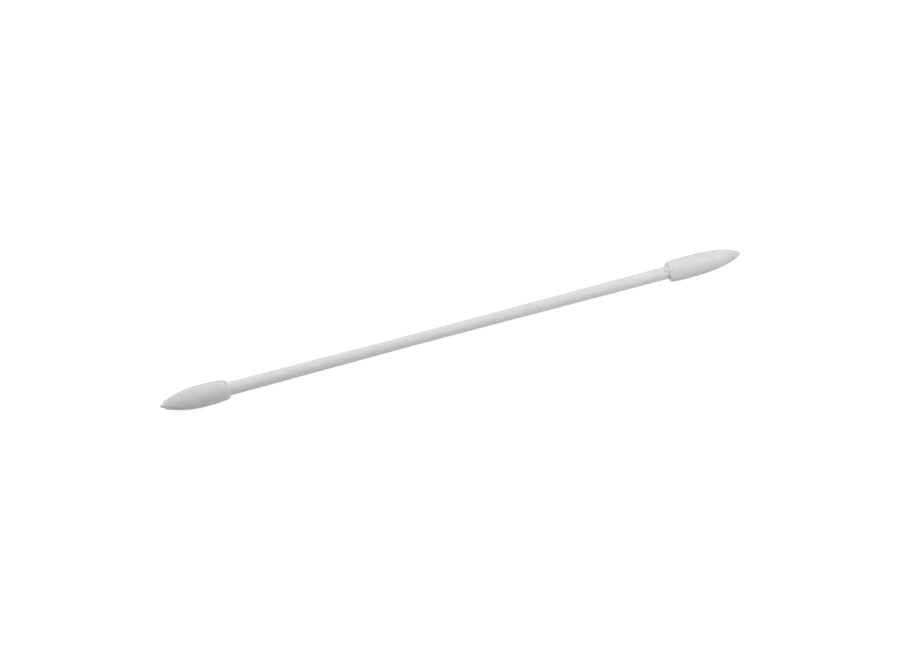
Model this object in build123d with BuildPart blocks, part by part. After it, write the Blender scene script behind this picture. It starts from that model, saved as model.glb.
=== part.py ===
"""Double-ended blending stick: a rolled-paper shaft with a pointed, wound cotton head glued on each end.

Millimetres. The stick lies along X with its origin on the axis, midway between the two points. +Z is up.
"""
from build123d import *
from math import cos, radians, sin
import os

# Overall
overall_length = 150.0

# Left head: full nose, belly near the middle, well-rounded shoulder. Places are measured from the point.
# A shoulder of fullness 0.55 is a quarter of an ellipse, and one of fullness 1 is square.
left_head_length = 17.0
left_head_diameter = 5.6
left_point_radius = 0.2
left_point_half_angle = 44.0
left_nose_reach = 3.2
left_belly_reach = 1.4
left_belly_from_point = 9.6
left_shoulder_fullness = 0.78

# Right head: slimmer nose with a blunter point, belly further back, squarer shoulder, a little longer
right_head_length = 19.3
right_head_diameter = 5.48
right_point_radius = 0.48
right_point_half_angle = 27.0
right_nose_reach = 2.2
right_belly_reach = 8.8
right_belly_from_point = 13.9
right_shoulder_fullness = 0.96

# Shaft: a slightly waisted stick that ends inside each head, with a straight land there for the glue
shaft_end_from_point = 7.0
waist_diameter = 2.82
waist_length = 12.0
waist_offset = -8.0
left_land_diameter = 3.4
right_land_diameter = 3.18

# Glue: a film between land and cotton, with a bevelled collar that shows beyond the shoulder
glue_thickness = 0.1
glue_collar_length = 1.0
glue_collar_edge = 0.03

# Places along X
left_point = -overall_length / 2
right_point = overall_length / 2
left_land_end = left_point + left_head_length + glue_collar_length
right_land_end = right_point - right_head_length - glue_collar_length
waist_start = waist_offset - waist_length / 2
waist_end = waist_offset + waist_length / 2

# Each end is drawn from its point inwards: local x along the stick, local y away from its axis
left_end = Plane(origin=(left_point, 0, 0), x_dir=(1, 0, 0), z_dir=(0, -1, 0))
right_end = Plane(origin=(right_point, 0, 0), x_dir=(-1, 0, 0), z_dir=(0, 1, 0))


def head_section(
    length, diameter, point_radius, half_angle, nose_reach, belly_reach, belly_from_point, shoulder_fullness,
    land_diameter,
):
    """Half section of a head: round point, nose, belly, rounded shoulder, and a blind socket."""
    slope = radians(half_angle)
    belly_radius = diameter / 2
    socket_radius = land_diameter / 2 + glue_thickness
    socket_floor = shaft_end_from_point - glue_thickness
    nose = (point_radius * (1 - sin(slope)), point_radius * cos(slope))
    nose_handle = (nose[0] + nose_reach * cos(slope), nose[1] + nose_reach * sin(slope))
    belly_handle = (belly_from_point - belly_reach, belly_radius)
    belly = (belly_from_point, belly_radius)
    flank_handle = (belly_from_point + shoulder_fullness * (length - belly_from_point), belly_radius)
    shoulder_handle = (length, socket_radius + shoulder_fullness * (belly_radius - socket_radius))
    socket_mouth = (length, socket_radius)
    with BuildSketch() as section:
        with BuildLine():
            TangentArc((0, 0), nose, tangent=(0, 1))
            Bezier(nose, nose_handle, belly_handle, belly)
            Bezier(belly, flank_handle, shoulder_handle, socket_mouth)
            Polyline(socket_mouth, (socket_floor, socket_radius), (socket_floor, 0), (0, 0))
        make_face()
    return section.sketch


def glue_section(head_length, land_diameter):
    """Half section of a glue film: a cup on the shaft's end whose collar thins out past the shoulder."""
    inner = land_diameter / 2
    outer = inner + glue_thickness
    cup_floor = shaft_end_from_point - glue_thickness
    collar_end = head_length + glue_collar_length
    with BuildSketch() as section:
        with BuildLine():
            Polyline(
                (cup_floor, 0),
                (cup_floor, outer),
                (head_length, outer),
                (collar_end, inner + glue_collar_edge),
                (collar_end, inner),
                (shaft_end_from_point, inner),
                (shaft_end_from_point, 0),
                close=True,
            )
        make_face()
    return section.sketch


with BuildPart() as paper_shaft:
    with BuildSketch(Plane.XZ):
        with BuildLine():
            Polyline(
                (left_point + shaft_end_from_point, 0),
                (left_point + shaft_end_from_point, left_land_diameter / 2),
                (left_land_end, left_land_diameter / 2),
                (waist_start, waist_diameter / 2),
                (waist_end, waist_diameter / 2),
                (right_land_end, right_land_diameter / 2),
                (right_point - shaft_end_from_point, right_land_diameter / 2),
                (right_point - shaft_end_from_point, 0),
                close=True,
            )
        make_face()
    revolve(axis=Axis.X)

with BuildPart() as left_glue_film:
    with BuildSketch(left_end):
        add(glue_section(left_head_length, left_land_diameter))
    revolve(axis=Axis.X)

with BuildPart() as right_glue_film:
    with BuildSketch(right_end):
        add(glue_section(right_head_length, right_land_diameter))
    revolve(axis=Axis.X)

with BuildPart() as left_cotton_head:
    with BuildSketch(left_end):
        add(
            head_section(
                length=left_head_length,
                diameter=left_head_diameter,
                point_radius=left_point_radius,
                half_angle=left_point_half_angle,
                nose_reach=left_nose_reach,
                belly_reach=left_belly_reach,
                belly_from_point=left_belly_from_point,
                shoulder_fullness=left_shoulder_fullness,
                land_diameter=left_land_diameter,
            )
        )
    revolve(axis=Axis.X)

with BuildPart() as right_cotton_head:
    with BuildSketch(right_end):
        add(
            head_section(
                length=right_head_length,
                diameter=right_head_diameter,
                point_radius=right_point_radius,
                half_angle=right_point_half_angle,
                nose_reach=right_nose_reach,
                belly_reach=right_belly_reach,
                belly_from_point=right_belly_from_point,
                shoulder_fullness=right_shoulder_fullness,
                land_diameter=right_land_diameter,
            )
        )
    revolve(axis=Axis.X)

paper_shaft.part.label = "paper_shaft"
left_glue_film.part.label = "left_glue_film"
right_glue_film.part.label = "right_glue_film"
left_cotton_head.part.label = "left_cotton_head"
right_cotton_head.part.label = "right_cotton_head"

os.makedirs("parts", exist_ok=True)
export_step(paper_shaft.part, "parts/paper_shaft.step")
export_step(left_glue_film.part, "parts/left_glue_film.step")
export_step(right_glue_film.part, "parts/right_glue_film.step")
export_step(left_cotton_head.part, "parts/left_cotton_head.step")
export_step(right_cotton_head.part, "parts/right_cotton_head.step")
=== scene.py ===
import math

import bpy
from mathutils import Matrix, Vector, noise


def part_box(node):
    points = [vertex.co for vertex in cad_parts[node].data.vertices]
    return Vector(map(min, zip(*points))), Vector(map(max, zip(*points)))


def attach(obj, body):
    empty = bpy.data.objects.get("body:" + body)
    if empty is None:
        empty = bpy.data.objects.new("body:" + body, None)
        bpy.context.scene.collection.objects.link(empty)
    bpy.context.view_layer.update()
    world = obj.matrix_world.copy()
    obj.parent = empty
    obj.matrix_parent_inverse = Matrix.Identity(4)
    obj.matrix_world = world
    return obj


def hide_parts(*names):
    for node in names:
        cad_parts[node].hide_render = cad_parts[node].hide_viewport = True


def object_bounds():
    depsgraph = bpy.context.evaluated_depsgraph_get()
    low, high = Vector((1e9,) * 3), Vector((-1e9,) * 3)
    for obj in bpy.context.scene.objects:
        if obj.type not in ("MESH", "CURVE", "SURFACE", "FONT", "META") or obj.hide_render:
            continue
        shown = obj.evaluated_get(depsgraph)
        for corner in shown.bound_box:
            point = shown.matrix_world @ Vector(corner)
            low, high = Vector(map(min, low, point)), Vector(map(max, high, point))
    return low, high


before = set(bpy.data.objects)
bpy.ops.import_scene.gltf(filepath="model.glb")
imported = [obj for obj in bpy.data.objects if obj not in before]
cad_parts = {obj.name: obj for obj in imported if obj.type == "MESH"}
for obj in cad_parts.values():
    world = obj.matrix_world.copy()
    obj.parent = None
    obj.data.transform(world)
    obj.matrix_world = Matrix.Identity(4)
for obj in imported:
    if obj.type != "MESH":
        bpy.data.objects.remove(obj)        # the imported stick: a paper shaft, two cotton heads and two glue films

MM = 0.001
CAD_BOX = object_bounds()
SIDES = ("left", "right")


# ---------------------------------------------------------------- small tools

def linear(hex_colour):
    """An sRGB hex colour as the linear RGBA that a shader socket takes."""
    channels = [int(hex_colour[i:i + 2], 16) / 255 for i in (0, 2, 4)]
    return [c / 12.92 if c <= 0.04045 else ((c + 0.055) / 1.055) ** 2.4 for c in channels] + [1.0]


def add_node(tree, kind, values=None, links=None, **settings):
    """Adds one node: settings are its properties, values fill its sockets and links feed them."""
    made = tree.nodes.new(kind)
    for name, value in settings.items():
        setattr(made, name, value)
    for socket, value in (values or {}).items():
        made.inputs[socket].default_value = value
    for socket, source in (links or {}).items():
        tree.links.new(source, made.inputs[socket])
    return made


def smoothstep(low, high, value):
    """0 below low, 1 above high and a smooth rise between them."""
    share = min(max((value - low) / (high - low), 0.0), 1.0)
    return share * share * (3 - 2 * share)


def make_piece(name, vertices, faces, material):
    """A smooth-shaded mesh object at the origin, with its place in its mesh."""
    mesh = bpy.data.meshes.new(name)
    mesh.from_pydata(vertices, [], faces)
    mesh.validate()
    mesh.shade_smooth()
    mesh.materials.append(material)
    piece = bpy.data.objects.new(name, mesh)
    bpy.context.scene.collection.objects.link(piece)
    return piece


def lathe_faces(rings, around, first_pole, last_pole, towards_x=True):
    """Faces of a closed skin of rings, each with the same number of vertices, and a vertex at each pole.

    They point outwards when the rings' order is given truly: towards +X or away from it.
    """
    faces = []
    for ring in range(rings - 1):
        for k in range(around):
            after = (k + 1) % around
            low, high = ring * around, (ring + 1) * around
            faces.append((low + k, low + after, high + after, high + k))
    end = (rings - 1) * around
    for k in range(around):
        after = (k + 1) % around
        faces.append((first_pole, after, k))
        faces.append((last_pole, end + k, end + after))
    return faces if towards_x else [tuple(reversed(face)) for face in faces]


# ---------------------------------------------------------------- outlines read from the frame

def turned_points(node):
    """The largest radius of a turned CAD piece at each of its stations along X, as (x, radius) pairs."""
    widest = {}
    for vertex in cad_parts[node].data.vertices:
        x, y, z = vertex.co
        station = round(x, 6)
        widest[station] = max(widest.get(station, 0.0), math.hypot(y, z))
    return sorted(widest.items())


def bulging_outline(points):
    """The outer hull of (x, radius) pairs: it passes over whatever lies inside, such as a socket."""
    hull = []
    for point in points:
        while len(hull) > 1:
            (ax, ar), (bx, br) = hull[-2], hull[-1]
            if (bx - ax) * (point[1] - ar) - (br - ar) * (point[0] - ax) < 0:
                break
            hull.pop()
        hull.append(point)
    return hull


def radius_at(outline, x):
    """The outline's radius at x, between its stations."""
    for (ax, ar), (bx, br) in zip(outline, outline[1:]):
        if ax <= x <= bx:
            return ar + (br - ar) * (x - ax) / (bx - ax) if bx > ax else max(ar, br)
    return outline[0][1] if x < outline[0][0] else outline[-1][1]


def evenly_along(path, spacing):
    """Points about one spacing apart along a path of (x, radius) points, with its two ends."""
    lengths = [math.dist(a, b) for a, b in zip(path, path[1:])]
    count = max(int(sum(lengths) / spacing), 2)
    step = sum(lengths) / count
    even, walked, leg = [path[0]], 0.0, 0
    for k in range(1, count):
        while leg < len(lengths) - 1 and walked + lengths[leg] < k * step:
            walked += lengths[leg]
            leg += 1
        share = (k * step - walked) / lengths[leg]
        even.append(tuple(a + (b - a) * share for a, b in zip(path[leg], path[leg + 1])))
    return even + [path[-1]]


# ---------------------------------------------------------------- materials

def new_material(name, values):
    """A material, its node tree and its Principled shader, whose own sockets take the values given."""
    material = bpy.data.materials.new(name)
    material.use_nodes = True
    tree = material.node_tree
    shader = tree.nodes["Principled BSDF"]
    for socket, value in values.items():
        shader.inputs[socket].default_value = value
    return material, tree, shader


def around_the_stick(tree, along, turn, twist=0.0):
    """Pattern coordinates that follow the stick: X divided by a length, and a direction round the axis.

    along is the pattern's size lengthwise in millimetres, turn how many pattern sizes one radian holds, and
    twist the radians by which the pattern winds round the stick for each millimetre of length.
    The direction closes on itself, so there is no join line.
    """
    coords = add_node(tree, "ShaderNodeTexCoord")
    parts = add_node(tree, "ShaderNodeSeparateXYZ", links={0: coords.outputs["Object"]})
    radial = add_node(tree, "ShaderNodeCombineXYZ", links={"Y": parts.outputs["Y"], "Z": parts.outputs["Z"]})
    unit = add_node(tree, "ShaderNodeVectorMath", operation="NORMALIZE", links={0: radial.outputs[0]})
    stretch = add_node(
        tree, "ShaderNodeVectorMath", operation="SCALE", values={"Scale": turn}, links={0: unit.outputs[0]}
    )
    wound = add_node(
        tree, "ShaderNodeMath", operation="MULTIPLY", values={1: twist / MM}, links={0: parts.outputs["X"]}
    )
    turned = add_node(
        tree, "ShaderNodeVectorRotate", rotation_type="X_AXIS",
        links={"Vector": stretch.outputs[0], "Angle": wound.outputs[0]},
    )
    lengthwise = add_node(
        tree, "ShaderNodeMath", operation="MULTIPLY", values={1: 1 / (along * MM)}, links={0: parts.outputs["X"]}
    )
    axial = add_node(tree, "ShaderNodeCombineXYZ", links={"X": lengthwise.outputs[0]})
    return add_node(
        tree, "ShaderNodeVectorMath", operation="ADD", links={0: turned.outputs[0], 1: axial.outputs[0]}
    ).outputs[0]


def wound_pressed_cotton(
    name, dark, light, streak_along, streak_turn, twist, tip=0.0, tip_grey=0.0, tip_reach=1.0, fleck_whiteness=0.0
):
    """Bleached cotton, wound and pressed.

    The eye sees a dead-matte white whose tone wavers in soft blotches, where the fleece is thicker or
    thinner, crossed by faint streaks that follow the winding. Real fibres are about 0.015 mm thick, too fine
    for a pattern, so the streaks are drawn much coarser, from 0.9 mm wide with finer ones inside. Near the
    point the colour turns greyer, with a few whiter flecks a little behind it.
    """
    material, tree, shader = new_material(name, {
        "Roughness": 0.95, "IOR": 1.45, "Specular IOR Level": 0.15, "Sheen Weight": 0.1, "Sheen Roughness": 0.6,
    })
    wound = around_the_stick(tree, streak_along, streak_turn, twist)
    coords = add_node(tree, "ShaderNodeTexCoord").outputs["Object"]
    streaks = add_node(
        tree, "ShaderNodeTexNoise", values={"Scale": 1.0, "Detail": 4.0, "Roughness": 0.55, "Distortion": 0.6},
        links={"Vector": wound},
    )
    blotches = add_node(
        tree, "ShaderNodeTexNoise", values={"Scale": 1 / (1.3 * MM), "Detail": 2.0, "Roughness": 0.5},
        links={"Vector": coords},
    )
    tone = add_node(
        tree, "ShaderNodeMix", data_type="FLOAT", values={"Factor": 0.6},
        links={2: streaks.outputs["Fac"], 3: blotches.outputs["Fac"]},
    )
    ramp = add_node(tree, "ShaderNodeValToRGB", links={"Fac": tone.outputs[0]})
    ramp.color_ramp.elements[0].position = 0.38
    ramp.color_ramp.elements[0].color = linear(dark)
    ramp.color_ramp.elements[1].position = 0.6
    ramp.color_ramp.elements[1].color = linear(light)
    colour = ramp.outputs["Color"]
    if tip_grey:
        parts = add_node(tree, "ShaderNodeSeparateXYZ", links={0: coords})
        from_tip = add_node(
            tree, "ShaderNodeMath", operation="SUBTRACT", values={1: tip}, links={0: parts.outputs["X"]}
        )
        reach = add_node(tree, "ShaderNodeMath", operation="ABSOLUTE", links={0: from_tip.outputs[0]})
        # Greyer towards the point: within tip_reach of it the colour is mixed towards 6E6E6E, by up to tip_grey
        greyer_near_point = add_node(
            tree, "ShaderNodeMapRange",
            values={"From Min": tip_reach / 2, "From Max": tip_reach, "To Min": tip_grey, "To Max": 0.0},
            links={"Value": reach.outputs[0]},
        )
        # A Mix node's colours are its sockets 6 and 7, and its colour result is output 2
        colour = add_node(
            tree, "ShaderNodeMix", data_type="RGBA", values={7: linear("6E6E6E")},
            links={0: greyer_near_point.outputs["Result"], 6: colour},
        ).outputs[2]
        # Whiter flecks 1.3 to 2.4 mm behind the point, where a fine noise runs high
        tufts = add_node(
            tree, "ShaderNodeTexNoise", values={"Scale": 1 / (0.45 * MM), "Detail": 1.0, "Roughness": 0.5},
            links={"Vector": coords},
        )
        proud = add_node(
            tree, "ShaderNodeMapRange", values={"From Min": 0.42, "From Max": 0.66, "To Min": 0.0, "To Max": fleck_whiteness},
            links={"Value": tufts.outputs["Fac"]},
        )
        behind_tip = add_node(
            tree, "ShaderNodeMapRange",
            values={"From Min": 1.3 * MM, "From Max": 2.4 * MM, "To Min": 1.0, "To Max": 0.0},
            links={"Value": reach.outputs[0]},
        )
        whiter = add_node(
            tree, "ShaderNodeMath", operation="MULTIPLY",
            links={0: proud.outputs["Result"], 1: behind_tip.outputs["Result"]},
        )
        colour = add_node(
            tree, "ShaderNodeMix", data_type="RGBA", values={7: linear("F2F2F2")},
            links={0: whiter.outputs[0], 6: colour},
        ).outputs[2]
    fuzz = add_node(
        tree, "ShaderNodeTexNoise", values={"Scale": 1 / (0.22 * MM), "Detail": 4.0, "Roughness": 0.7},
        links={"Vector": coords},
    )
    fine_bump = add_node(
        tree, "ShaderNodeBump", values={"Strength": 0.5, "Distance": 0.03 * MM},
        links={"Height": fuzz.outputs["Fac"]},
    )
    bump = add_node(
        tree, "ShaderNodeBump", values={"Strength": 0.4, "Distance": 0.02 * MM},
        links={"Height": streaks.outputs["Fac"], "Normal": fine_bump.outputs["Normal"]},
    )
    tree.links.new(colour, shader.inputs["Base Color"])
    tree.links.new(bump.outputs["Normal"], shader.inputs["Normal"])
    return material


def rolled_white_paper():
    """Bleached kraft paper, rolled tight and pasted.

    The eye sees a smoother, flatter white than the cotton: faint lengthwise fibre marks from the sheet, a
    fine mottle, and a soft calendered sheen.
    """
    material, tree, shader = new_material("rolled_white_paper", {"IOR": 1.5, "Specular IOR Level": 0.2})
    grain_coords = around_the_stick(tree, 7.0, 5.0)
    coords = add_node(tree, "ShaderNodeTexCoord").outputs["Object"]
    grain = add_node(
        tree, "ShaderNodeTexNoise", values={"Scale": 1.0, "Detail": 4.0, "Roughness": 0.6},
        links={"Vector": grain_coords},
    )
    mottle = add_node(
        tree, "ShaderNodeTexNoise", values={"Scale": 1 / (0.5 * MM), "Detail": 4.0, "Roughness": 0.6},
        links={"Vector": coords},
    )
    tone = add_node(
        tree, "ShaderNodeMix", data_type="FLOAT", values={"Factor": 0.45},
        links={2: grain.outputs["Fac"], 3: mottle.outputs["Fac"]},
    )
    ramp = add_node(tree, "ShaderNodeValToRGB", links={"Fac": tone.outputs[0]})
    ramp.color_ramp.elements[0].position = 0.38
    ramp.color_ramp.elements[0].color = linear("C0C0C0")
    ramp.color_ramp.elements[1].position = 0.62
    ramp.color_ramp.elements[1].color = linear("C8C8C8")
    roughness = add_node(
        tree, "ShaderNodeMapRange", values={"To Min": 0.62, "To Max": 0.78}, links={"Value": mottle.outputs["Fac"]}
    )
    fibre_bump = add_node(
        tree, "ShaderNodeBump", values={"Strength": 0.3, "Distance": 0.01 * MM},
        links={"Height": mottle.outputs["Fac"]},
    )
    bump = add_node(
        tree, "ShaderNodeBump", values={"Strength": 0.35, "Distance": 0.015 * MM},
        links={"Height": grain.outputs["Fac"], "Normal": fibre_bump.outputs["Normal"]},
    )
    tree.links.new(ramp.outputs["Color"], shader.inputs["Base Color"])
    tree.links.new(roughness.outputs["Result"], shader.inputs["Roughness"])
    tree.links.new(bump.outputs["Normal"], shader.inputs["Normal"])
    return material


def dried_white_glue():
    """Polyvinyl acetate glue, brushed on and dried.

    The eye sees a thin off-white skin, a little glossier than the paper under it and uneven at its edge.
    """
    material, tree, shader = new_material("dried_white_glue", {"IOR": 1.47, "Specular IOR Level": 0.3})
    coords = add_node(tree, "ShaderNodeTexCoord").outputs["Object"]
    pooled = add_node(
        tree, "ShaderNodeTexNoise", values={"Scale": 1 / (0.7 * MM), "Detail": 3.0}, links={"Vector": coords}
    )
    ramp = add_node(tree, "ShaderNodeValToRGB", links={"Fac": pooled.outputs["Fac"]})
    ramp.color_ramp.elements[0].position = 0.35
    ramp.color_ramp.elements[0].color = linear("C2C2C2")
    ramp.color_ramp.elements[1].position = 0.65
    ramp.color_ramp.elements[1].color = linear("CCCCCC")
    roughness = add_node(
        tree, "ShaderNodeMapRange", values={"To Min": 0.5, "To Max": 0.7}, links={"Value": pooled.outputs["Fac"]}
    )
    bump = add_node(
        tree, "ShaderNodeBump", values={"Strength": 0.4, "Distance": 0.02 * MM},
        links={"Height": pooled.outputs["Fac"]},
    )
    tree.links.new(ramp.outputs["Color"], shader.inputs["Base Color"])
    tree.links.new(roughness.outputs["Result"], shader.inputs["Roughness"])
    tree.links.new(bump.outputs["Normal"], shader.inputs["Normal"])
    return material


def backlit_white_acrylic():
    """Opal acrylic lit from below, as a studio light table: an even white glow with the faintest cloudiness."""
    material, tree, shader = new_material("backlit_white_acrylic", {
        "Roughness": 0.95, "Specular IOR Level": 0.1, "Emission Color": linear("FFFFFF"), "Emission Strength": 0.86,
    })
    coords = add_node(tree, "ShaderNodeTexCoord").outputs["Object"]
    tooth = add_node(
        tree, "ShaderNodeTexNoise", values={"Scale": 1 / (6 * MM), "Detail": 3.0}, links={"Vector": coords}
    )
    ramp = add_node(tree, "ShaderNodeValToRGB", links={"Fac": tooth.outputs["Fac"]})
    ramp.color_ramp.elements[0].color = linear("797979")
    ramp.color_ramp.elements[1].color = linear("7F7F7F")
    tree.links.new(ramp.outputs["Color"], shader.inputs["Base Color"])
    return material


# ---------------------------------------------------------------- the cotton heads

RING_SPACING = 0.1 * MM
SOCKET_SPACING = 0.6 * MM
HEAD_AROUND = 176
POLE_RADIUS = 0.02 * MM                          # the first ring round a head's point
RELIEF_SEED = {"left": 3.7, "right": 11.3}
LUMP_HEIGHT = 0.035 * MM
STRAND_HEIGHT = 0.007 * MM                       # of the strands and of the thick spots
STRAND_TWIST = {"left": 0.42, "right": 0.15}     # radians of winding for each millimetre of head
WINDING_HEIGHT = {"left": 0.002 * MM, "right": 0.008 * MM}
WINDING_PITCH = 1.3 * MM
TIP_TWIST = {"left": 0.06 * MM, "right": 0.01 * MM}
# The glue drew the cotton down on to the shaft on its upper side, and left a crease on its lower front side
NECK_FILLET = {"left": 0.8 * MM, "right": 1.2 * MM}
FILLET_TURN = {"left": math.radians(112), "right": math.radians(98)}
FILLET_REACH = {"left": 1.3, "right": 1.4}       # radians each way from the fillet's middle
FEATHER = 0.14 * MM                              # how far the fillet's edge thins down towards the paper
NECK_CREASE = {"left": 0.3 * MM, "right": 0.08 * MM}
CREASE_TURN = math.radians(175)
CREASE_REACH = 1.2
NECK_WIDTH = 1.0 * MM                            # the fillet and the crease reach this far out from the socket
OVERHANG = {"left": 0.45 * MM, "right": 0.28 * MM}
OVERHANG_TURN = {"left": math.radians(205), "right": math.radians(20)}
OVERHANG_REACH = 1.3
RIM_START, RIM_FULL = 2.2 * MM, 0.3 * MM         # before the mouth: where the overhang begins and is complete
RAGGED_EDGE = 0.12 * MM
RAGGED_FILLET = 0.5                              # the share by which the fillet's length varies
MOUTH_MARGIN = 0.25 * MM                         # the lumps fade out this close to the socket
# Pressing left the left nose a little flatter below and turned up at its point, and the right point blunter
FLATTENED = {"left": 0.09 * MM, "right": 0.02 * MM}
FLAT_TURN = math.radians(207)
FLAT_FROM_POINT, FLAT_LENGTH, FLAT_REACH = 5 * MM, 4.5 * MM, 1.2
UPTURN = {"left": 0.09 * MM, "right": 0.02 * MM}
UPTURN_TURN = math.radians(27)
UPTURN_LENGTH = 11 * MM
BLUNTED = {"left": 0.0, "right": 0.17 * MM}
BLUNT_LENGTH = 2 * MM


def near(value, centre, width):
    """A smooth bump: 1 at the centre, falling to nothing about two widths away."""
    return math.exp(-((value - centre) / width) ** 2)


def facing(turn, centre, width):
    """A smooth bump round the stick: 1 at the centre, falling to 0 one width away on either side."""
    away = abs((turn - centre + math.pi) % (2 * math.pi) - math.pi)
    return 1 - smoothstep(0, width, away)


def head_relief(side, from_point, turn, radius):
    """How far the cotton stands proud of its pressed form, in metres, at one place on a head.

    from_point is the distance from the point, turn the angle round the stick.
    """
    seed = RELIEF_SEED[side]
    cos_turn, sin_turn = math.cos(turn), math.sin(turn)
    spun = turn + STRAND_TWIST[side] * from_point / MM
    place = Vector((from_point, radius * cos_turn, radius * sin_turn)) / MM
    lumps = noise.noise(place / 4.5 + Vector((seed, 0, 0)))
    thick_spots = noise.noise(place / 1.2 + Vector((0, seed, 0)))
    strands = noise.noise((from_point / (2.4 * MM), 6.5 * math.cos(spun) + seed, 6.5 * math.sin(spun)))
    wander = noise.noise((from_point / (3.0 * MM), 1.6 * cos_turn + seed, 1.6 * sin_turn))
    winding = math.sin(2 * math.pi * (from_point / WINDING_PITCH + 0.6 * wander) + turn)
    wound_part = smoothstep(4 * MM, 6 * MM, from_point) * (1 - smoothstep(11 * MM, 14 * MM, from_point))
    tip_strands = noise.noise((from_point / (1.5 * MM), 2.4 * math.cos(2 * spun) + seed, 2.4 * math.sin(2 * spun)))
    groove = -near(from_point, 0.85 * MM, 0.2 * MM) * TIP_TWIST[side]
    tufts = near(from_point, 1.5 * MM, 0.4 * MM) * TIP_TWIST[side] * (0.7 + 2.4 * tip_strands)
    body = LUMP_HEIGHT * lumps + STRAND_HEIGHT * thick_spots + STRAND_HEIGHT * strands
    body += WINDING_HEIGHT[side] * winding * wound_part * (1 + lumps)
    body -= FLATTENED[side] * near(from_point, FLAT_FROM_POINT, FLAT_LENGTH) * facing(turn, FLAT_TURN, FLAT_REACH)
    return smoothstep(0, 1.2 * MM, radius) * body + groove + tufts


def make_head(side, material):
    """A wound cotton head: the frame's own outline with its lumps and strands, drawn down on to the shaft."""
    node = f"{side}_cotton_head"
    outline = bulging_outline(turned_points(node))
    low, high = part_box(node)
    glue_low, glue_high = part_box(f"{side}_glue_film")
    if side == "left":
        point, shoulder, socket_floor, inward = low.x, high.x, glue_low.x, 1
    else:
        point, shoulder, socket_floor, inward = high.x, low.x, glue_high.x, -1
        outline.reverse()
    socket_radius = (glue_high.z - glue_low.z) / 2
    length = abs(shoulder - point)
    skin = [p for p in outline if p[1] > POLE_RADIUS] + [(shoulder, socket_radius)]
    skin = evenly_along([(point, POLE_RADIUS)] + skin, RING_SPACING)
    socket = evenly_along([(shoulder, socket_radius), (socket_floor, socket_radius)], SOCKET_SPACING)[1:]
    vertices = []
    for index, (x, radius) in enumerate(skin):
        before, after = skin[max(index - 1, 0)], skin[min(index + 1, len(skin) - 1)]
        lean = Vector((before[1] - after[1], after[0] - before[0])).normalized() * inward
        from_point = abs(x - point)
        behind_belly = from_point > length / 2
        rim = smoothstep(length - RIM_START, length - RIM_FULL, from_point)
        free = smoothstep(socket_radius, socket_radius + MOUTH_MARGIN, radius) if behind_belly else 1.0
        at_shaft = 1 - min((radius - socket_radius) / NECK_WIDTH, 1.0) if behind_belly else 0.0
        upturn = UPTURN[side] * (1 - smoothstep(0, UPTURN_LENGTH, from_point))
        blunted = BLUNTED[side] * (1 - smoothstep(0, BLUNT_LENGTH, from_point))
        for k in range(HEAD_AROUND):
            turn = 2 * math.pi * k / HEAD_AROUND
            lift = head_relief(side, from_point, turn, radius) * free
            ragged = noise.noise((1.4 * math.cos(turn), 1.4 * math.sin(turn), point / MM))
            filleted = facing(turn, FILLET_TURN[side], FILLET_REACH[side])
            drawn_down = NECK_FILLET[side] * filleted * (1 + RAGGED_FILLET * ragged) * at_shaft ** 3
            creased = NECK_CREASE[side] * facing(turn, CREASE_TURN, CREASE_REACH) * (1 - filleted) * at_shaft ** 3
            hanging = OVERHANG[side] * facing(turn, OVERHANG_TURN[side], OVERHANG_REACH) + RAGGED_EDGE * ragged
            along = lift * lean.x + (hanging * rim * free + drawn_down - creased + blunted) * inward
            r = radius + lift * lean.y - FEATHER * smoothstep(0, 0.3, filleted) * at_shaft ** 4
            y = r * math.cos(turn) + upturn * math.cos(UPTURN_TURN)
            z = r * math.sin(turn) + upturn * math.sin(UPTURN_TURN)
            vertices.append((x + along, y, z))
    for x, radius in socket:
        for k in range(HEAD_AROUND):
            turn = 2 * math.pi * k / HEAD_AROUND
            vertices.append((x, radius * math.cos(turn), radius * math.sin(turn)))
    rings = len(vertices) // HEAD_AROUND
    tip_y, tip_z = UPTURN[side] * math.cos(UPTURN_TURN), UPTURN[side] * math.sin(UPTURN_TURN)
    vertices += [(point + BLUNTED[side] * inward, tip_y, tip_z), (socket_floor, 0.0, 0.0)]
    faces = lathe_faces(rings, HEAD_AROUND, len(vertices) - 2, len(vertices) - 1, towards_x=side == "left")
    return make_piece(f"{side}_wound_head", vertices, faces, material)


# ---------------------------------------------------------------- loose fibres, by Geometry Nodes

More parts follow.
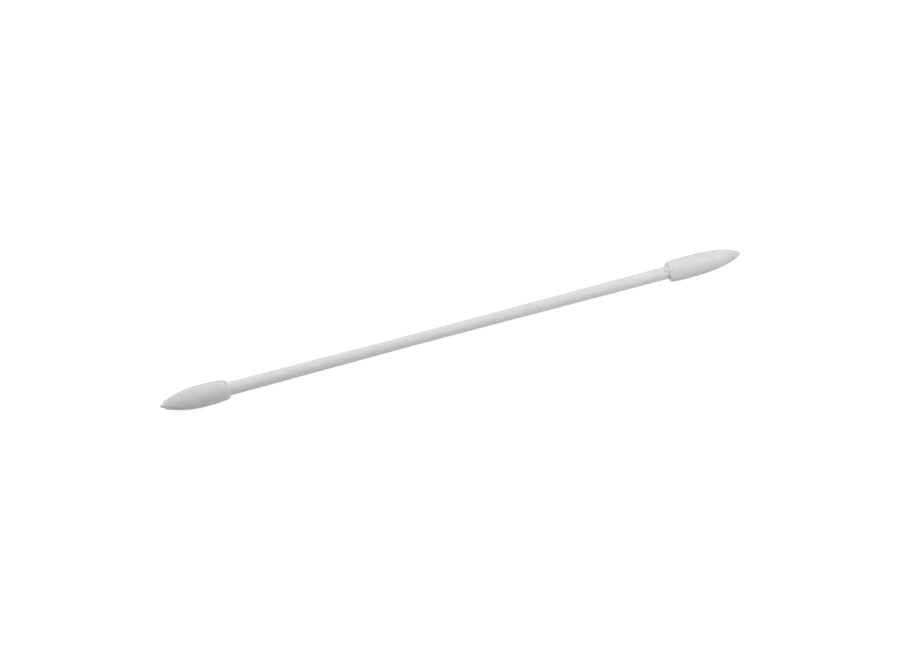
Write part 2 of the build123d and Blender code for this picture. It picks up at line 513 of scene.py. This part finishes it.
def fibre_tree():
    """The node tree that lays single fibres over a surface: they bend to it, and some ends lift off it."""
    tree = bpy.data.node_groups.new("lay_loose_fibres", "GeometryNodeTree")
    sizes = {
        "Geometry": "NodeSocketGeometry",
        "Fibres per Square Millimetre": "NodeSocketFloat",
        "Fibre Length": "NodeSocketFloat",
        "Fibre Thickness": "NodeSocketFloat",
        "Lay Angle": "NodeSocketFloat",
        "Angle Spread": "NodeSocketFloat",
        "End Lift": "NodeSocketFloat",
        "Lowest Radius": "NodeSocketFloat",
        "Seed": "NodeSocketInt",
        "Material": "NodeSocketMaterial",
    }
    for name, kind in sizes.items():
        tree.interface.new_socket(name, in_out="INPUT", socket_type=kind)
    tree.interface.new_socket("Geometry", in_out="OUTPUT", socket_type="NodeSocketGeometry")
    given = add_node(tree, "NodeGroupInput").outputs
    place = add_node(tree, "GeometryNodeInputPosition").outputs[0]
    apart = add_node(tree, "ShaderNodeSeparateXYZ", links={0: place}).outputs
    flat = add_node(tree, "ShaderNodeCombineXYZ", links={"Y": apart["Y"], "Z": apart["Z"]})
    radius = add_node(tree, "ShaderNodeVectorMath", operation="LENGTH", links={0: flat.outputs[0]})
    clear_of_axis = add_node(
        tree, "FunctionNodeCompare", data_type="FLOAT", operation="GREATER_THAN",
        links={0: radius.outputs["Value"], 1: given["Lowest Radius"]},
    )
    # Faces that look away from the axis: the skin of the head, but not its socket or the face round its mouth
    outwards = add_node(
        tree, "ShaderNodeVectorMath", operation="DOT_PRODUCT",
        links={0: add_node(tree, "GeometryNodeInputNormal").outputs[0], 1: flat.outputs[0]},
    )
    steepest = add_node(
        tree, "ShaderNodeMath", operation="MULTIPLY", values={1: 0.25}, links={0: radius.outputs["Value"]}
    )
    looks_out = add_node(
        tree, "FunctionNodeCompare", data_type="FLOAT", operation="GREATER_THAN",
        links={0: outwards.outputs["Value"], 1: steepest.outputs[0]},
    )
    outside = add_node(
        tree, "FunctionNodeBooleanMath", operation="AND",
        links={0: clear_of_axis.outputs["Result"], 1: looks_out.outputs["Result"]},
    )
    per_metre = add_node(
        tree, "ShaderNodeMath", operation="DIVIDE", values={1: MM * MM},
        links={0: given["Fibres per Square Millimetre"]},
    )
    roots = add_node(
        tree, "GeometryNodeDistributePointsOnFaces",
        links={
            "Mesh": given["Geometry"], "Selection": outside.outputs[0], "Density": per_metre.outputs[0],
            "Seed": given["Seed"],
        },
    )
    # Direction of lay: round the stick, turned towards its length by the lay angle and a random spread
    hoop = add_node(
        tree, "ShaderNodeVectorMath", operation="CROSS_PRODUCT", values={1: (1, 0, 0)},
        links={0: roots.outputs["Normal"]},
    )
    hoop_unit = add_node(tree, "ShaderNodeVectorMath", operation="NORMALIZE", links={0: hoop.outputs[0]})
    negative = add_node(
        tree, "ShaderNodeMath", operation="MULTIPLY", values={1: -1.0}, links={0: given["Angle Spread"]}
    )
    spread = add_node(
        tree, "FunctionNodeRandomValue", data_type="FLOAT",
        links={"Min": negative.outputs[0], "Max": given["Angle Spread"], "Seed": given["Seed"]},
    )
    angle = add_node(
        tree, "ShaderNodeMath", operation="ADD", links={0: given["Lay Angle"], 1: spread.outputs["Value"]}
    )
    lay = add_node(
        tree, "ShaderNodeVectorRotate", rotation_type="AXIS_ANGLE",
        links={"Vector": hoop_unit.outputs[0], "Axis": roots.outputs["Normal"], "Angle": angle.outputs[0]},
    )
    rotation = add_node(
        tree, "FunctionNodeAlignRotationToVector", axis="X", links={"Vector": lay.outputs[0]}
    )
    shortest = add_node(
        tree, "ShaderNodeMath", operation="MULTIPLY", values={1: 0.45}, links={0: given["Fibre Length"]}
    )
    length = add_node(
        tree, "FunctionNodeRandomValue", data_type="FLOAT",
        links={"Min": shortest.outputs[0], "Max": given["Fibre Length"], "Seed": given["Seed"]},
    )
    fibre = add_node(
        tree, "GeometryNodeCurvePrimitiveLine", values={"Start": (-0.5, 0, 0), "End": (0.5, 0, 0)}
    )
    laid = add_node(
        tree, "GeometryNodeInstanceOnPoints",
        links={
            "Points": roots.outputs["Points"], "Instance": fibre.outputs[0],
            "Rotation": rotation.outputs[0], "Scale": length.outputs["Value"],
        },
    )
    loose = add_node(tree, "GeometryNodeRealizeInstances", links={"Geometry": laid.outputs[0]})
    divided = add_node(
        tree, "GeometryNodeResampleCurve", values={"Count": 8}, links={"Curve": loose.outputs[0]}
    )
    # Each fibre wavers, drops on to the surface and lifts towards its two ends by its own amount
    waver = add_node(
        tree, "ShaderNodeTexNoise", values={"Scale": 1 / (0.9 * MM), "Detail": 1.0}, links={"Vector": place}
    )
    centred = add_node(
        tree, "ShaderNodeVectorMath", operation="SUBTRACT", values={1: (0.5, 0.5, 0.5)},
        links={0: waver.outputs["Color"]},
    )
    swing = add_node(
        tree, "ShaderNodeVectorMath", operation="SCALE", values={"Scale": 0.9 * MM}, links={0: centred.outputs[0]}
    )
    strayed = add_node(
        tree, "ShaderNodeVectorMath", operation="ADD", links={0: place, 1: swing.outputs[0]}
    )
    nearest = add_node(
        tree, "GeometryNodeProximity", target_element="FACES",
        links={0: given["Geometry"], "Sample Position": strayed.outputs[0]},
    )
    normal = add_node(tree, "GeometryNodeInputNormal")
    surface_normal = add_node(
        tree, "GeometryNodeSampleNearestSurface", data_type="FLOAT_VECTOR",
        links={"Mesh": given["Geometry"], "Value": normal.outputs[0], "Sample Position": strayed.outputs[0]},
    )
    along = add_node(tree, "GeometryNodeSplineParameter")
    from_middle = add_node(
        tree, "ShaderNodeMath", operation="MULTIPLY_ADD", values={1: 2.0, 2: -1.0},
        links={0: along.outputs["Factor"]},
    )
    both_ends = add_node(tree, "ShaderNodeMath", operation="ABSOLUTE", links={0: from_middle.outputs[0]})
    curl = add_node(tree, "ShaderNodeMath", operation="POWER", values={1: 3.0}, links={0: both_ends.outputs[0]})
    owner = add_node(tree, "GeometryNodeCurveOfPoint")
    chance = add_node(
        tree, "FunctionNodeRandomValue", data_type="FLOAT",
        links={"ID": owner.outputs["Curve Index"], "Seed": given["Seed"]},
    )
    rare = add_node(tree, "ShaderNodeMath", operation="POWER", values={1: 5.0}, links={0: chance.outputs["Value"]})
    own_lift = add_node(
        tree, "ShaderNodeMath", operation="MULTIPLY", links={0: rare.outputs[0], 1: given["End Lift"]}
    )
    end_lift = add_node(
        tree, "ShaderNodeMath", operation="MULTIPLY_ADD", values={2: 0.004 * MM},
        links={0: curl.outputs[0], 1: own_lift.outputs[0]},
    )
    raised = add_node(
        tree, "ShaderNodeVectorMath", operation="SCALE",
        links={0: surface_normal.outputs["Value"], "Scale": end_lift.outputs[0]},
    )
    final = add_node(
        tree, "ShaderNodeVectorMath", operation="ADD", links={0: nearest.outputs["Position"], 1: raised.outputs[0]}
    )
    draped = add_node(
        tree, "GeometryNodeSetPosition", links={"Geometry": divided.outputs[0], "Position": final.outputs[0]}
    )
    half = add_node(
        tree, "ShaderNodeMath", operation="MULTIPLY", values={1: 0.5}, links={0: given["Fibre Thickness"]}
    )
    section = add_node(
        tree, "GeometryNodeCurvePrimitiveCircle", mode="RADIUS", values={"Resolution": 3},
        links={"Radius": half.outputs[0]},
    )
    solid = add_node(
        tree, "GeometryNodeCurveToMesh", values={"Fill Caps": True},
        links={"Curve": draped.outputs[0], "Profile Curve": section.outputs[0]},
    )
    whole = add_node(tree, "GeometryNodeRealizeInstances", links={"Geometry": solid.outputs[0]})
    painted = add_node(
        tree, "GeometryNodeSetMaterial", links={"Geometry": whole.outputs[0], "Material": given["Material"]}
    )
    add_node(tree, "NodeGroupOutput", links={"Geometry": painted.outputs[0]})
    return tree


def lay_fibres(name, surface, tree, **sizes):
    """Runs the fibre tree over a copy of a surface and keeps the result as a plain mesh piece."""
    carrier = bpy.data.objects.new(f"{name}_carrier", surface.data.copy())
    bpy.context.scene.collection.objects.link(carrier)
    modifier = carrier.modifiers.new("fibres", "NODES")
    modifier.node_group = tree
    sockets = {item.name: item.identifier for item in tree.interface.items_tree if item.in_out == "INPUT"}
    for size, value in sizes.items():
        modifier[sockets[size.replace("_", " ").title().replace(" Per ", " per ")]] = value
    result = bpy.data.meshes.new_from_object(carrier.evaluated_get(bpy.context.evaluated_depsgraph_get()))
    bpy.data.objects.remove(carrier)
    result.name = name
    result.shade_smooth()
    fibres = bpy.data.objects.new(name, result)
    bpy.context.scene.collection.objects.link(fibres)
    return fibres


# ---------------------------------------------------------------- the paper shaft

SHAFT_AROUND = 96
PAPER_THICKNESS = 0.09 * MM
LAP_TURN = math.radians(-62)
LAP_WANDER = 0.05                                # radians
SHAFT_WAVER = 0.014 * MM
SHAFT_SPACING = 0.7 * MM


def make_shaft(material):
    """The rolled stick: one spiral turn of paper shows, and its edge makes a lengthwise lap on the far side."""
    outline = turned_points("paper_shaft")
    outline = [p for p in outline if p[1] > 0.5 * MM]
    stations = evenly_along([(x, 0.0) for x, _ in (outline[0], outline[-1])], SHAFT_SPACING)
    vertices = []
    for x, _ in stations:
        radius = radius_at(outline, x)
        lap = LAP_TURN + LAP_WANDER * noise.noise((x / (25 * MM), 0.3, 0.7))
        for k in range(SHAFT_AROUND + 1):
            share = k / SHAFT_AROUND
            turn = lap + 2 * math.pi * share
            direction = (math.cos(turn), math.sin(turn))
            waver = SHAFT_WAVER * noise.noise((x / (11 * MM), 1.2 * direction[0], 1.2 * direction[1]))
            r = radius + PAPER_THICKNESS * (share - 0.5) + waver
            vertices.append((x, r * direction[0], r * direction[1]))
    ends = (stations[0][0], stations[-1][0])
    vertices += [(ends[0], 0.0, 0.0), (ends[1], 0.0, 0.0)]
    faces = lathe_faces(len(stations), SHAFT_AROUND + 1, len(vertices) - 2, len(vertices) - 1)
    return make_piece("rolled_paper_shaft", vertices, faces, material)


# ---------------------------------------------------------------- the glue films

GLUE_AROUND = 96
BEAD_HEIGHT = {"left": 0.03 * MM, "right": 0.16 * MM}    # a bead of glue that dried beside the head
BEAD_TURN = math.radians(130)
BEAD_FROM_HEAD, BEAD_LENGTH, BEAD_SPREAD = 0.6 * MM, 0.22 * MM, 0.17    # the spread is in radians
COLLAR_STEPS = 12
GLUE_SEED = {"left": 21.5, "right": 5.2}
UNDER_HEAD = 0.3 * MM                            # the film keeps its full thickness to this far inside the mouth
UNDER_GLUE = 0.05 * MM                           # the film's inner skin lies this deep in the paper


def make_glue(side, material):
    """The dried glue: a cup on the shaft's end whose collar creeps unevenly out of the head on to the paper."""
    low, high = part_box(f"{side}_glue_film")
    head_low, head_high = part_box(f"{side}_cotton_head")
    shaft = turned_points("paper_shaft")
    if side == "left":
        floor, mouth, reach, inward = low.x, head_high.x, high.x - head_high.x, 1
    else:
        floor, mouth, reach, inward = high.x, head_low.x, head_low.x - low.x, -1
    outer = (high.z - low.z) / 2
    inner = radius_at(shaft, mouth)
    wall = outer - inner
    seed = GLUE_SEED[side]
    rows = []
    for k in range(GLUE_AROUND):
        turn = 2 * math.pi * k / GLUE_AROUND
        uneven = noise.noise((1.7 * math.cos(turn), 1.7 * math.sin(turn), seed))
        ripple = noise.noise((6 * math.cos(turn), 6 * math.sin(turn), seed))
        creep = reach * min(max(0.8 + 0.7 * uneven + 0.15 * ripple, 0.3), 1.0)
        row = [(floor, outer), (mouth - inward * UNDER_HEAD, outer)]
        for step in range(COLLAR_STEPS + 1):
            share = step / COLLAR_STEPS
            thick = wall * (1 - 0.9 * share * share)
            beside = near(creep * share, BEAD_FROM_HEAD, BEAD_LENGTH)
            thick += BEAD_HEIGHT[side] * beside * near(turn, BEAD_TURN, BEAD_SPREAD)
            row.append((mouth + inward * creep * share, inner + thick))
        row.append((mouth + inward * creep, inner - UNDER_GLUE))
        row.append((floor + inward * wall, inner - UNDER_GLUE))
        rows.append([(x, r * math.cos(turn), r * math.sin(turn)) for x, r in row])
    vertices = [rows[k][j] for j in range(len(rows[0])) for k in range(GLUE_AROUND)]
    vertices += [(floor, 0.0, 0.0), (floor + inward * wall, 0.0, 0.0)]
    faces = lathe_faces(len(rows[0]), GLUE_AROUND, len(vertices) - 2, len(vertices) - 1, towards_x=side == "left")
    return make_piece(f"{side}_glue_collar", vertices, faces, material)


# ---------------------------------------------------------------- build the stick

left_tip, right_tip = CAD_BOX[0].x, CAD_BOX[1].x
# Both heads are the same cotton: the left one's colours are painted darker, as painted shade, and the right one's
# lighter, as painted light, for how the lamps fall on the two ends
left_cotton = wound_pressed_cotton(
    "wound_pressed_cotton_left", "C0C0C0", "C6C6C6", 2.4, 3.2, STRAND_TWIST["left"],
    tip=left_tip, tip_grey=0.45, tip_reach=0.8 * MM, fleck_whiteness=0.5,
)
right_cotton = wound_pressed_cotton(
    "wound_pressed_cotton_right", "C8C8C8", "CCCCCC", 1.1, 1.6, STRAND_TWIST["right"],
    tip=right_tip, tip_grey=0.12, tip_reach=5 * MM, fleck_whiteness=0.08,
)
# The loose fibres are painted lighter than the heads' cotton, as painted light that offsets the shade on their thin
# sides
stray_cotton = wound_pressed_cotton("loose_cotton_fibre", "CECECE", "D8D8D8", 0.6, 3.0, 0.42)
paper = rolled_white_paper()
glue = dried_white_glue()
fibres = fibre_tree()

shaft = make_shaft(paper)
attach(shaft, "root")
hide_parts("paper_shaft")

for side, cotton in zip(SIDES, (left_cotton, right_cotton)):
    head = make_head(side, cotton)
    collar = make_glue(side, glue)
    surface = lay_fibres(
        f"{side}_surface_fibres", head, fibres,
        fibres_per_square_millimetre=12.0,
        fibre_length=2.6 * MM,
        fibre_thickness=0.016 * MM,
        lay_angle=math.radians(8),
        angle_spread=math.radians(28),
        end_lift=0.12 * MM,
        lowest_radius=0.8 * MM,
        seed=4 if side == "left" else 9,
        material=stray_cotton,
    )
    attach(head, "root")
    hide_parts(f"{side}_cotton_head")
    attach(collar, "root")
    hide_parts(f"{side}_glue_film")
    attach(surface, "root")


# ---------------------------------------------------------------- floor, light and camera

TABLE_HALF_WIDTH = 3.0
SOFTBOXES = (                                    # name, place, size of its square face, power in watts
    ("left_softbox", (-0.24, 0.12, 0.29), 0.2, 0.78),
    ("low_left_softbox", (-0.15, 0.3, 0.12), 0.2, 0.2),
    ("right_softbox", (0.205, -0.065, 0.29), 0.15, 1.0),
    ("back_softbox", (0.0, 0.65, 0.46), 0.6, 0.85),
)


def make_floor():
    """A wide pale light table that the stick rests on."""
    level, half = CAD_BOX[0].z, TABLE_HALF_WIDTH
    corners = [(-half, -half, level), (half, -half, level), (half, half, level), (-half, half, level)]
    floor = make_piece("light_table", corners, [(0, 1, 2, 3)], backlit_white_acrylic())


def make_softbox(name, place, aim, size, power):
    """A square softbox that faces its aim."""
    lamp = bpy.data.lights.new(name, "AREA")
    lamp.shape = "RECTANGLE"
    lamp.size = lamp.size_y = size
    lamp.energy = power
    box = bpy.data.objects.new(name, lamp)
    box.location = place
    box.rotation_euler = (Vector(place) - Vector(aim)).to_track_quat("Z", "Y").to_euler()
    bpy.context.scene.collection.objects.link(box)


def make_room_light(colour, strength):
    """An even pale room that fills the shadows."""
    world = bpy.data.worlds.new("studio_room")
    world.use_nodes = True
    background = world.node_tree.nodes["Background"]
    background.inputs["Color"].default_value = linear(colour)
    background.inputs["Strength"].default_value = strength
    bpy.context.scene.world = world


def make_camera(azimuth, elevation, distance, lens, aim):
    """A long-lens camera above the stick, square to the frame, with everything in focus."""
    side, height = math.radians(azimuth), math.radians(elevation)
    back = Vector((math.sin(side) * math.cos(height), -math.cos(side) * math.cos(height), math.sin(height)))
    data = bpy.data.cameras.new("studio_camera")
    data.lens = lens
    data.sensor_width = 36.0
    camera = bpy.data.objects.new("studio_camera", data)
    camera.location = aim + back * distance
    camera.rotation_euler = back.to_track_quat("Z", "Y").to_euler()
    bpy.context.scene.collection.objects.link(camera)
    bpy.context.scene.camera = camera


middle = (CAD_BOX[0] + CAD_BOX[1]) / 2
make_floor()
make_room_light("FFFFFF", 0.22)
for name, place, size, power in SOFTBOXES:
    make_softbox(name, place, middle, size, power)
make_camera(azimuth=-16.59, elevation=63, distance=0.69, lens=111.5, aim=middle + Vector((-1.2 * MM, 0, 0)))
bpy.context.scene.view_settings.view_transform = "Standard"
